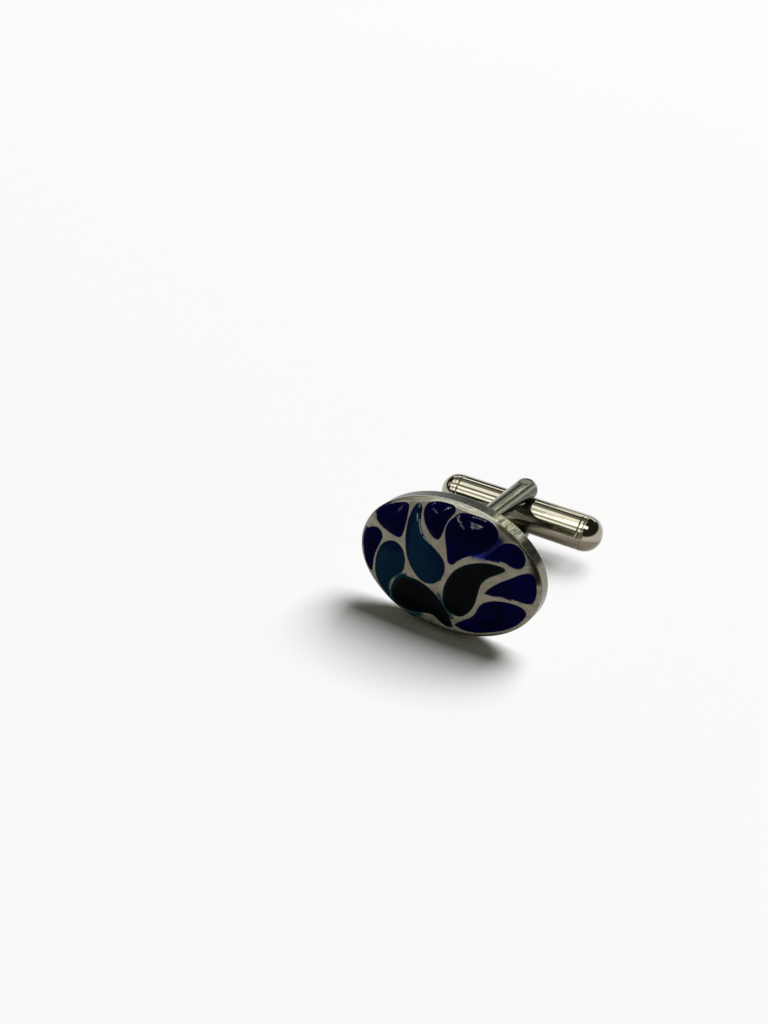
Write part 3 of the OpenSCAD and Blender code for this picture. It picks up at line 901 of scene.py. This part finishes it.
def forkTree(values):
    # the fork as a distance field, turned into a mesh whose points then step onto the true surface
    b, g, out = newTree("forkShape", values)
    margin = 0.15      # mm of room round the shape

    def distance():
        # how far a point is outside the fork
        x, y, z = b.parts(b.add("GeometryNodeInputPosition"))
        up = abs(z)
        off = up - g["Arm Mid"]
        past = b.math("MAXIMUM", y - g["Nose Y"], 0.0)
        share = b.math("MINIMUM", y, g["Nose Y"]) + g["Seat Depth"]
        share = share / (g["Nose Y"] + g["Seat Depth"])
        radius = g["Foot Radius"] + (g["Arm Radius"] - g["Foot Radius"]) * share
        arm = b.math("SQRT", x * x + off * off + past * past) - radius
        foot = b.math("MAXIMUM", off, y - g["Bridge"] - g["Slot Half"])
        block = b.math("MAXIMUM", abs(x) - g["Foot Radius"], foot)
        body = b.math("SMOOTH_MIN", arm, block, g["Soften"])
        body = b.math("SMOOTH_MAX", body, (0 - g["Seat Depth"]) - y, g["Crisp"])
        below = b.math("MINIMUM", y - g["Bridge"] - g["Slot Half"], 0.0)
        slot = b.math("SQRT", below * below + z * z) - g["Slot Half"]
        body = b.math("SMOOTH_MAX", body, -slot, g["Soften"])
        filed = b.math("SMOOTH_MIN", up - g["Filed Z"], y - g["Filed From"], g["Filed Corner"])
        body = b.math("SMOOTH_MAX", body, filed, g["Filed Edge"])
        flare = b.math("MAXIMUM", up - g["Filed Z"] + g["Flared"], 0.0)
        drop = y - g["Pin Y"]
        bore = (g["Pin Radius"] + flare) - b.math("SQRT", x * x + drop * drop)
        return b.math("SMOOTH_MAX", body, bore, g["Crisp"])

    reach = g["Arm Radius"] + margin
    tall = g["Arm Mid"] + reach
    low = b.vector(-reach, -g["Seat Depth"] - margin, -tall)
    high = b.vector(reach, g["Nose Y"] + reach, tall)
    count = [b.math("CEIL", span / g["Voxel"]) for span in (
        reach * 2, g["Nose Y"] + reach + g["Seat Depth"] + margin, tall * 2)]
    cloud = b.add("GeometryNodeVolumeCube", {
        "Density": -distance(), "Background": -1.0, "Min": low, "Max": high,
        "Resolution X": count[0], "Resolution Y": count[1], "Resolution Z": count[2]})
    shape = b.add("GeometryNodeVolumeToMesh", {
        "Volume": cloud, "Threshold": 0.0, "Adaptivity": 0.0}, resolution_mode="GRID")
    for _ in range(2):
        shape = swollen(b, shape, -distance())
    outcome(b, out, shape, g["Material"])
    return b.tree


def placed(made, body, replaced, matrix=None):
    # puts a piece made in its own mm where it belongs, and ties it to the frame
    work = bmesh.new()
    work.from_mesh(made.data)
    bmesh.ops.remove_doubles(work, verts=work.verts, dist=0.0004)
    bmesh.ops.transform(work, matrix=toRow @ (matrix or Matrix.Identity(4)), verts=work.verts)
    bmesh.ops.recalc_face_normals(work, faces=work.faces)
    work.to_mesh(made.data)
    work.free()
    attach(made, body)
    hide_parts(replaced)
    print(made.name + ":", sum(len(f.vertices) - 2 for f in made.data.polygons), "triangles")
    return made


def spaced(key):
    # "armRadius" becomes "Arm Radius"
    return "".join(" " + c if c.isupper() else c for c in key).title()


def makeFork():
    values = {spaced(key): value for key, value in fork.items()}
    values.update({"Pin Y": pivotY, "Material": forkNickel})
    made = runTree("fork_arms", forkTree(values), values)
    placed(made, "face", "fork")


def sweepTree(values):
    # a closed section led round a circle whose two halves may stand apart
    b, g, out = newTree("sectionSweep", values)
    circle = b.add("GeometryNodeCurvePrimitiveCircle",
                   {"Resolution": g["Steps"], "Radius": g["Path Radius"]}, mode="RADIUS")
    y = b.parts(b.add("GeometryNodeInputPosition"))[1]
    apart = b.vector(0, b.math("SIGN", y) * g["Straight Half"], 0)
    path = b.add("GeometryNodeSetPosition", {"Geometry": circle, "Offset": apart})
    section = b.add("GeometryNodeMeshToCurve", {"Mesh": g["Geometry"]})
    shape = b.add("GeometryNodeCurveToMesh", {"Curve": path, "Profile Curve": section})
    shape = b.add("GeometryNodeMergeByDistance", {"Geometry": shape, "Distance": 0.0005})
    ripple = b.add("ShaderNodeTexNoise", {"Scale": 1.6, "Detail": 2.0}) - 0.5
    shape = swollen(b, shape, ripple * g["Waviness"])
    drill = b.add("GeometryNodeMeshCylinder", {
        "Vertices": 64, "Radius": g["Hole Radius"], "Depth": 8.0})
    drill = b.add("GeometryNodeTransform", {"Geometry": drill, "Rotation": (0, math.pi / 2, 0)})
    drilled = b.add("GeometryNodeMeshBoolean", {"Mesh 1": shape, "Mesh 2": drill},
                    operation="DIFFERENCE", solver="EXACT")
    wanted = b.add("FunctionNodeCompare", {0: g["Hole Radius"], 1: 0.0},
                   data_type="FLOAT", operation="GREATER_THAN")
    shape = b.add("GeometryNodeSwitch", {"Switch": wanted, "False": shape, "True": drilled},
                  input_type="GEOMETRY")
    outcome(b, out, shape, g["Material"])
    return b.tree


def rounded(corners, steps=5):
    # a closed section from corners (x, y, radius), each rounded to its radius
    out = []
    n = len(corners)
    for i, (x, y, r) in enumerate(corners):
        here = Vector((x, y))
        if r == 0:
            out.append(here[:])
            continue
        a = Vector(corners[i - 1][:2]) - here
        c = Vector(corners[(i + 1) % n][:2]) - here
        half = a.angle(c) / 2
        cut = min(r / math.tan(half), 0.49 * a.length, 0.49 * c.length)
        start, end = here + a.normalized() * cut, here + c.normalized() * cut
        for k in range(steps + 1):
            t = k / steps
            out.append(((1 - t) ** 2 * start + 2 * t * (1 - t) * here + t * t * end)[:])
    return out


def sectionMesh(name, points, pathRadius):
    # points are (distance from the axis, place along it)
    mesh = bpy.data.meshes.new(name)
    n = len(points)
    edges = [(i, (i + 1) % n) for i in range(n)]
    mesh.from_pydata([(r - pathRadius, -a, 0) for r, a in points], edges, [])
    return mesh


toggle = {"halfTube": 7.9, "radius": 2.05, "bore": 1.55, "halfAll": 9.75, "capStep": 0.03,
          "plugGap": 0.02, "plugLength": 1.4, "pinHole": 0.68,
          "grooveAt": 0.5, "grooveDeep": 0.045, "grooveWide": 0.09,
          "steps": 160, "pathRadius": 1.0, "outerCuts": 29, "innerCuts": 15, "domeCuts": 33}
solder = {"width": 0.35, "steps": 96, "waviness": 0.05, "overlap": 0.02, "gap": 0.01,
          "slopeSteps": 8}
plainSweep = {"Path Radius": toggle["pathRadius"], "Straight Half": 0.0, "Steps": toggle["steps"],
              "Hole Radius": 0.0, "Waviness": 0.0, "Material": toggleNickel}


def makeToggle(tree):
    # sections are corners (distance from the axis, place along it, rounding)
    s = toggle
    half, r, q, bore = s["halfTube"], s["radius"], s["grooveWide"], s["bore"]
    groove = half - s["grooveAt"]
    corners = [(bore, -half, 0.05), (r, -half, 0.07)]
    for side in (-1, 1):
        edges = sorted((side * (groove - q), side * groove, side * (groove + q)))
        corners += [(r, edges[0], 0.03), (r - s["grooveDeep"], edges[1], 0.04), (r, edges[2], 0.03)]
        if side < 0:
            corners += [(r, x, 0) for x in np.linspace(-groove + 0.5, groove - 0.5, s["outerCuts"])]
    corners += [(r, half, 0.07), (bore, half, 0.05)]
    corners += [(bore, x, 0) for x in np.linspace(half - 1, 1 - half, s["innerCuts"])]
    lengthwise = Matrix.Translation((0, pivotY, 0)) @ Matrix.Rotation(math.pi / 2, 4, "Y")
    section = sectionMesh("tubeSection", rounded(corners), s["pathRadius"])
    made = runTree("toggle_barrel", tree, {**plainSweep, "Hole Radius": s["pinHole"]}, section)
    placed(made, "toggle", "toggle_tube", lengthwise)

    capR, plugR = r - s["capStep"], bore - s["plugGap"]
    long, plugEnd = s["halfAll"] - half, half - s["plugLength"]
    turns = np.linspace(0, math.pi / 2, s["domeCuts"])[1:]
    dome = [(capR * math.cos(t), half + long * math.sin(t)) for t in turns]
    dome[-1] = (0, half + long)
    lip = rounded([(0, plugEnd, 0), (plugR, plugEnd, 0.15), (plugR, half, 0), (capR, half, 0.04),
                   (capR, half + 0.2, 0)])[:-1]
    points = [p for p in lip if p[1] <= half + 0.05] + [p for p in dome if p[1] > half + 0.06]
    for side, name in ((1, "right"), (-1, "left")):
        section = sectionMesh("capSection", points, s["pathRadius"])
        made = runTree("toggle_end_" + name, tree, plainSweep, section)
        facing = lengthwise if side > 0 else lengthwise @ Matrix.Rotation(math.pi, 4, "Y")
        placed(made, "toggle", "toggle_cap_" + name, facing)


def makeSolder(tree):
    # a run of solder with a hollow slope, in the seat and up the fork's foot
    s = solder
    foot, w, deep = fork["footRadius"], s["width"], fork["seatDepth"]
    inner, outer = foot - s["overlap"], foot + w - s["gap"]
    points = [(inner, -deep), (outer, -deep), (outer, -0.02)]
    for k in range(s["slopeSteps"] + 1):
        t = math.radians(90 * k / s["slopeSteps"])
        points.append((foot + w * (1 - math.sin(t)), w * (1 - math.cos(t))))
    points.append((inner, w))
    values = {**plainSweep, "Path Radius": foot, "Straight Half": fork["armMid"],
              "Steps": s["steps"], "Waviness": s["waviness"], "Material": solderMetal}
    made = runTree("solder_run", tree, values, sectionMesh("solderSection", points, foot))
    placed(made, "face", "solder_seam", Matrix.Rotation(-math.pi / 2, 4, "X"))


makeOval()
count = sum(makeEnamel(node, outlines[node], material) for node, material in cellFills.items())
print("enamels:", count, "triangles")
makeFork()
sweep = sweepTree(plainSweep)
makeToggle(sweep)
makeSolder(sweep)

# the pin and the leaves are the CAD's own, in new finishes
for node, material in {"pivot_pin": pinMetal, "leaf_spring_front": springSteel,
                       "leaf_spring_back": springSteel}.items():
    for place in nodes[node].material_slots:
        place.material = material
print("pieces made")


# the floor's radius in m, its colours as seen and as it lights the piece, and the room's colours
stage = {"size": 3.0, "sides": 64,
         "pale": colour(0.925, 0.938, 0.965), "bounce": colour(0.72, 0.72, 0.71),
         "world": colour(0.068, 0.07, 0.052), "mirrored": colour(0.026, 0.027, 0.019),
         "haze": colour(0.94, 0.94, 0.94), "hazeHeight": (0.08, 0.26)}


def rayKinds(b):
    # 1 for camera rays, for glossy rays and for transmission rays
    path = b.add("ShaderNodeLightPath", out=None)
    kinds = ("Camera", "Glossy", "Transmission")
    return [Wire(b, path.outputs["Is " + kind + " Ray"]) for kind in kinds]


def makeFloor():
    s = stage
    mesh = bpy.data.meshes.new("floor")
    turns = np.linspace(0, 2 * math.pi, s["sides"] + 1)[:-1]
    mesh.from_pydata([(s["size"] * math.cos(t), s["size"] * math.sin(t), 0) for t in turns], [],
                     [list(range(s["sides"]))])
    floor = newObject("floor", mesh)
    material = bpy.data.materials.new("paleFloor")
    b = bare(material)
    toCamera, glossy, through = rayKinds(b)
    seen = b.math("MINIMUM", toCamera + glossy + through, 1.0)
    shader = b.add("ShaderNodeBsdfDiffuse", {"Color": b.tint(seen, s["bounce"], s["pale"])})
    b.add("ShaderNodeOutputMaterial", {"Surface": shader})
    mesh.materials.append(material)


def makeWorld():
    # a dim room; the camera sees a pale backdrop, and mirrored and refracted rays see it low down
    s = stage
    world = bpy.data.worlds.new("studio")
    b = bare(world)
    toCamera, glossy, through = rayKinds(b)
    height = b.parts(b.add("ShaderNodeTexCoord", out=0))[2]
    low = b.smooth(height, *s["hazeHeight"], 1, 0) * b.math("MAXIMUM", glossy, through)
    room = b.tint(glossy, s["world"], s["mirrored"])
    paint = b.tint(b.math("MAXIMUM", toCamera, low), room, s["haze"])
    back = b.add("ShaderNodeBackground", {"Color": paint, "Strength": 1.0})
    b.add("ShaderNodeOutputWorld", {"Surface": back})
    bpy.context.scene.world = world


# place and aim in mm, lens in mm, roll in degrees
cameraPlan = {"place": (38.031, -88.277, 71.976), "aim": (-15.691, 5.239, 0.0), "roll": 1.733,
              "lens": 51.417, "sensor": 36, "clip": (0.005, 20)}


def makeCamera():
    s = cameraPlan
    data = bpy.data.cameras.new("camera")
    data.sensor_fit = "HORIZONTAL"
    data.sensor_width = s["sensor"]
    data.lens = s["lens"]
    data.clip_start, data.clip_end = s["clip"]
    camera = newObject("camera", data)
    place, aim = Vector(s["place"]) / 1000, Vector(s["aim"]) / 1000
    ahead = (aim - place).normalized()
    right = ahead.cross(Vector((0, 0, 1))).normalized()
    up = right.cross(ahead)
    roll = math.radians(s["roll"])
    sideways = math.cos(roll) * right + math.sin(roll) * up
    upright = -math.sin(roll) * right + math.cos(roll) * up
    turned = Matrix((sideways, upright, -ahead)).transposed()
    camera.matrix_world = Matrix.Translation(place) @ turned.to_4x4()
    bpy.context.scene.camera = camera


# softboxes: the direction from the cufflink, degrees wide along x and tall, the glow (1 is white),
# the tint if it isn't the warm one, and what is lit if that isn't the cufflink alone; the toggle
# doesn't shade what "past" lights
warm, whiter = (1, 0.985, 0.92), (1, 0.985, 0.97)
keyPlan = {"way": (0.19, 0.50, 0.83), "wide": 32, "tall": 32, "tint": whiter}
lamps = {
    "overhead": {"way": (-0.42, 0.04, 0.90), "wide": 26, "tall": 20, "glow": 1.7},
    "overheadFront": {"way": (-0.43, -0.44, 0.79), "wide": 30, "tall": 12, "glow": 2.4},
    "front": {"way": (-0.43, -0.68, 0.60), "wide": 30, "tall": 14, "glow": 0.9,
              "tint": (1, 0.97, 0.90)},
    "behind": {"way": (-0.43, 0.70, 0.57), "wide": 34, "tall": 9, "glow": 2.2,
               "tint": (1, 0.985, 0.94)},
    "left": {"way": (-0.80, -0.18, 0.58), "wide": 24, "tall": 20, "glow": 0.6},
    "right": {"way": (0.03, -0.32, 0.95), "wide": 36, "tall": 18, "glow": 3.0},
    "back": {"way": (0.02, 0.905, 0.42), "wide": 34, "tall": 9, "glow": 2.3,
             "tint": (0.96, 1, 0.88)},
    "frontShine": {"way": (-0.36, -0.76, 0.54), "wide": 30, "tall": 9, "glow": 1.6,
                   "lights": "shiny"},
    "fill": {"way": (-0.40, -0.20, 0.90), "wide": 40, "tall": 84, "glow": 0.30, "lights": "shiny"},
    "key": {**keyPlan, "glow": 4.85, "lights": "all"},
    "keyPast": {**keyPlan, "glow": 7.3, "lights": "past"},
}
lampDistance = 12.0


def makeLamps():
    # the two keys alone light the floor too, and aren't mirrored
    groups = {name: bpy.data.collections.new(name + "Pieces")
              for name in ("cufflink", "shiny", "shading")}
    for piece in list(bpy.data.objects):
        if piece.type == "MESH" and piece.name != "floor":
            groups["cufflink"].objects.link(piece)
            if "toggle" not in piece.name:
                groups["shading"].objects.link(piece)
            if piece.name.startswith(("toggle", "fork")):
                groups["shiny"].objects.link(piece)
    for name, s in lamps.items():
        data = bpy.data.lights.new(name, "AREA")
        data.shape = "RECTANGLE"
        data.size, data.size_y = (
            2 * lampDistance * math.tan(math.radians(s[k] / 2)) for k in ("wide", "tall"))
        data.color = s.get("tint", warm)
        data.energy = s["glow"] * data.size * data.size_y * math.pi
        lamp = newObject(name, data)
        lights = s.get("lights", "cufflink")
        if lights in groups:
            lamp.light_linking.receiver_collection = groups[lights]
        else:
            lamp.visible_glossy = False
        if lights == "past":
            lamp.light_linking.blocker_collection = groups["shading"]
        # the lamp's own x stays level, along the cufflink's x
        back = Vector(s["way"]).normalized()
        tall = back.cross(Vector((1, 0, 0))).normalized()
        wide = tall.cross(back)
        turned = Matrix((wide, tall, back)).transposed()
        lamp.matrix_world = Matrix.Translation(back * lampDistance) @ turned.to_4x4()


# small ring lamps seen only in three of the cells; each place: degrees left of straight ahead and
# up, then half the width and half the height in degrees
ringLamps = {"far": 0.16, "glow": 260.0, "tint": colour(0.95, 0.97, 1.0),
             "over": (0.0015, -0.0095, 0.012), "cells": ("upper_left", "top", "upper_right"),
             "sides": 40, "hole": 0.66,
             "places": [(16.8, 6.3, 3.4, 1.25), (16.8, 2.9, 2.8, 0.95), (18.0, 0.4, 1.0, 0.35),
                        (32.0, 1.2, 3.2, 0.8), (28.5, -1.6, 2.6, 0.6), (25.0, -3.2, 1.2, 0.3)]}


def makeRingLamps():
    s = ringLamps
    glassOnly = bpy.data.collections.new("glassCells")
    for piece in glassPieces:
        if piece.name.endswith(s["cells"]):
            glassOnly.objects.link(piece)
    material = bpy.data.materials.new("ringLampGlow")
    b = bare(material)
    glow = b.add("ShaderNodeEmission", {"Color": s["tint"], "Strength": s["glow"]})
    b.add("ShaderNodeOutputMaterial", {"Surface": glow})
    n = 2 * s["sides"]
    faces = [(k, (k + 2) % n, (k + 3) % n, k + 1) for k in range(0, n, 2)]
    for i, (aside, up, wide, tall) in enumerate(s["places"]):
        aside, up = math.radians(aside), math.radians(up)
        level = math.cos(up)
        way = Vector((-math.sin(aside) * level, -math.cos(aside) * level, math.sin(up)))
        outerX, outerY = (s["far"] * math.tan(math.radians(v)) for v in (wide, tall))
        points = []
        for k in range(s["sides"]):
            t = 2 * math.pi * k / s["sides"]
            points += [(share * outerX * math.cos(t), share * outerY * math.sin(t), 0)
                       for share in (1, s["hole"])]
        mesh = bpy.data.meshes.new("ringLamp%d" % i)
        mesh.from_pydata(points, [], faces)
        facing = way.to_track_quat("Z", "Y").to_matrix().to_4x4()
        mesh.transform(Matrix.Translation(Vector(s["over"]) + way * s["far"]) @ facing)
        mesh.materials.append(material)
        lamp = newObject("ringLamp%d" % i, mesh)
        lamp.visible_camera = lamp.visible_diffuse = False
        lamp.visible_shadow = lamp.visible_transmission = False
        lamp.light_linking.receiver_collection = glassOnly


makeFloor()
makeWorld()
makeCamera()
makeLamps()
makeRingLamps()
bpy.context.scene.view_settings.view_transform = "Standard"
print("stage set")
